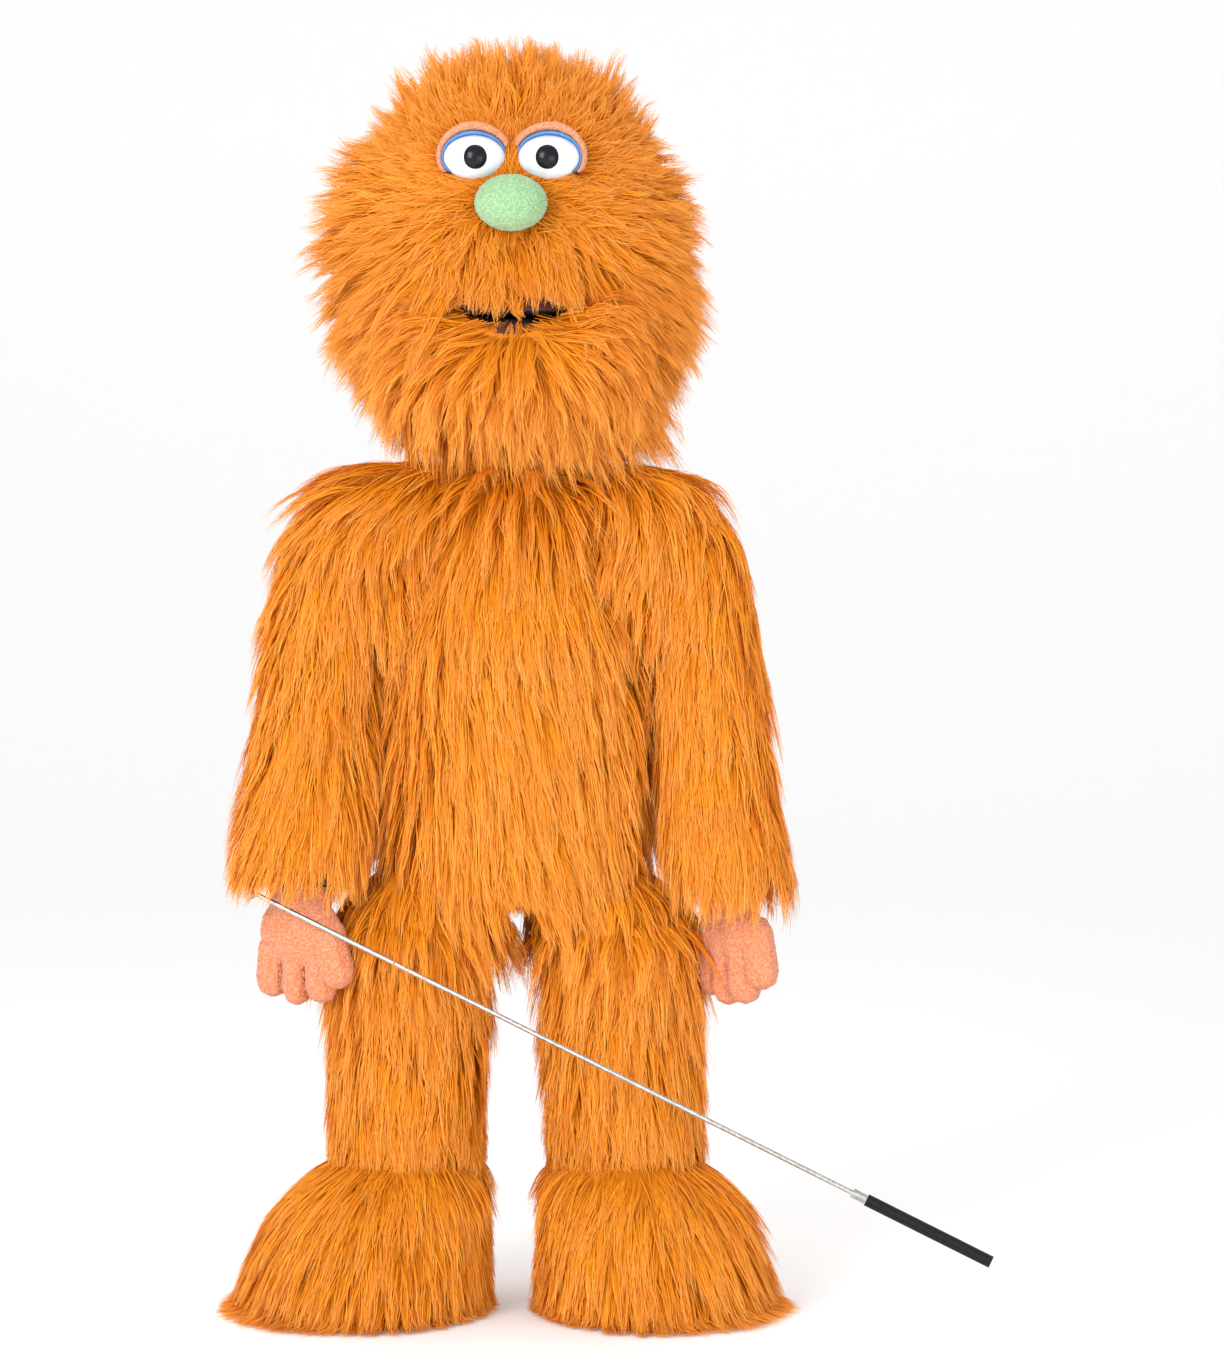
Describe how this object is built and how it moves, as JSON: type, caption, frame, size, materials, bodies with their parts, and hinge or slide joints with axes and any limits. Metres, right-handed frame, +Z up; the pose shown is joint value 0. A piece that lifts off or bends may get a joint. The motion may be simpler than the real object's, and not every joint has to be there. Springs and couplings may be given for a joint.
{
  "type": "moving mouth puppet",
  "caption": "Full-body shaggy monster hand puppet with a hinged mouth, jointed limbs, big feet and a rod at one wrist.",
  "frame": {"origin": "middle of the bounding box, on the floor that the soles stand on", "axes": "+Z up along the standing body, the face looks along -Y, +X is the side of the puppet's left hand"},
  "size_m": [0.4412, 0.2138, 0.738],
  "materials": {
    "fur": "matte",
    "foam": "matte",
    "filling": "matte",
    "mouth_lining": "matte",
    "mouth_board": "matte",
    "dark_cloth": "matte",
    "coral_terry": "matte",
    "green_terry": "matte",
    "blue_felt": "matte",
    "eye_white": "satin",
    "eye_black": "gloss",
    "steel": "satin",
    "grip": "matte"
  },
  "bodies": {
    "torso": {"torso_fur": "fur", "torso_foam": "foam", "hand_opening_hem": "dark_cloth"},
    "neck": {"neck_sleeve": "dark_cloth"},
    "head": {"head_fur": "fur", "head_foam": "foam", "upper_mouth_board": "mouth_board", "upper_mouth_lining": "mouth_lining", "mouth_hinge_tape": "dark_cloth", "finger_pocket": "dark_cloth", "right_eye_white": "eye_white", "right_pupil": "eye_black", "right_inner_lid": "blue_felt", "right_outer_lid": "coral_terry", "left_eye_white": "eye_white", "left_pupil": "eye_black", "left_inner_lid": "blue_felt", "left_outer_lid": "coral_terry", "nose": "green_terry"},
    "jaw": {"jaw_fur": "fur", "jaw_foam": "foam", "lower_mouth_board": "mouth_board", "lower_mouth_lining": "mouth_lining", "thumb_pocket": "dark_cloth"},
    "right_upper_arm": {"right_upper_arm_fur": "fur", "right_upper_arm_filling": "filling"},
    "right_forearm": {"right_forearm_fur": "fur", "right_forearm_filling": "filling"},
    "right_hand": {"right_hand": "coral_terry", "wrist_strap": "dark_cloth"},
    "left_upper_arm": {"left_upper_arm_fur": "fur", "left_upper_arm_filling": "filling"},
    "left_forearm": {"left_forearm_fur": "fur", "left_forearm_filling": "filling"},
    "left_hand": {"left_hand": "coral_terry"},
    "rod_link": {"rod_pin": "steel"},
    "rod": {"arm_rod": "steel", "rod_ferrule": "steel", "rod_handle": "grip"},
    "right_thigh": {"right_thigh_fur": "fur", "right_thigh_filling": "filling"},
    "right_shin": {"right_shin_fur": "fur", "right_shin_filling": "filling", "right_foot_fur": "fur", "right_foot_foam": "foam", "right_sole": "dark_cloth"},
    "left_thigh": {"left_thigh_fur": "fur", "left_thigh_filling": "filling"},
    "left_shin": {"left_shin_fur": "fur", "left_shin_filling": "filling", "left_foot_fur": "fur", "left_foot_foam": "foam", "left_sole": "dark_cloth"}
  },
  "joints": [
    {"name": "neck_turn", "type": "hinge", "parent": "torso", "child": "neck", "pos_m": [-0.05755, 0.03886, 0.52], "axis": [0, 0, 1], "range_deg": [-40, 40], "stiffness_Nm_per_rad": 1.5},
    {"name": "neck_nod", "type": "hinge", "parent": "neck", "child": "head", "pos_m": [-0.05755, 0.03886, 0.546], "axis": [1, 0, 0], "range_deg": [-15, 12], "stiffness_Nm_per_rad": 4},
    {"name": "mouth_open", "type": "hinge", "parent": "head", "child": "jaw", "pos_m": [-0.05755, 0.00086, 0.592], "axis": [1, 0, 0], "range_deg": [-7, 18], "stiffness_Nm_per_rad": 1},
    {"name": "right_shoulder", "type": "hinge", "parent": "torso", "child": "right_upper_arm", "pos_m": [-0.15555, 0.01886, 0.474], "axis": [-1, 0, 0], "range_deg": [0, 80]},
    {"name": "right_elbow", "type": "hinge", "parent": "right_upper_arm", "child": "right_forearm", "pos_m": [-0.17455, 0.00886, 0.372], "axis": [-1, 0, 0], "range_deg": [0, 75]},
    {"name": "right_wrist", "type": "hinge", "parent": "right_forearm", "child": "right_hand", "pos_m": [-0.18455, -0.01114, 0.276], "axis": [-1, 0, 0], "range_deg": [0, 20]},
    {"name": "left_shoulder", "type": "hinge", "parent": "torso", "child": "left_upper_arm", "pos_m": [0.04045, 0.01886, 0.474], "axis": [-1, 0, 0], "range_deg": [0, 80]},
    {"name": "left_elbow", "type": "hinge", "parent": "left_upper_arm", "child": "left_forearm", "pos_m": [0.05945, 0.00886, 0.372], "axis": [-1, 0, 0], "range_deg": [0, 75]},
    {"name": "left_wrist", "type": "hinge", "parent": "left_forearm", "child": "left_hand", "pos_m": [0.06945, -0.01114, 0.276], "axis": [-1, 0, 0], "range_deg": [0, 20]},
    {"name": "rod_swing", "type": "hinge", "parent": "right_hand", "child": "rod_link", "pos_m": [-0.21255, -0.03014, 0.252], "axis": [0, 0, -1], "range_deg": [0, 70]},
    {"name": "rod_lift", "type": "hinge", "parent": "rod_link", "child": "rod", "pos_m": [-0.21255, -0.03014, 0.252], "axis": [-0.149, -0.9888, 0], "range_deg": [0, 45]},
    {"name": "right_hip", "type": "hinge", "parent": "torso", "child": "right_thigh", "pos_m": [-0.12055, 0.01586, 0.238], "axis": [1, 0, 0], "range_deg": [0, 40], "stiffness_Nm_per_rad": 10},
    {"name": "right_knee", "type": "hinge", "parent": "right_thigh", "child": "right_shin", "pos_m": [-0.12255, 0.01586, 0.165], "axis": [1, 0, 0], "range_deg": [0, 72], "stiffness_Nm_per_rad": 10},
    {"name": "left_hip", "type": "hinge", "parent": "torso", "child": "left_thigh", "pos_m": [0.00545, 0.01586, 0.238], "axis": [1, 0, 0], "range_deg": [0, 40], "stiffness_Nm_per_rad": 10},
    {"name": "left_knee", "type": "hinge", "parent": "left_thigh", "child": "left_shin", "pos_m": [0.00745, 0.01586, 0.165], "axis": [1, 0, 0], "range_deg": [0, 72], "stiffness_Nm_per_rad": 10}
  ]
}
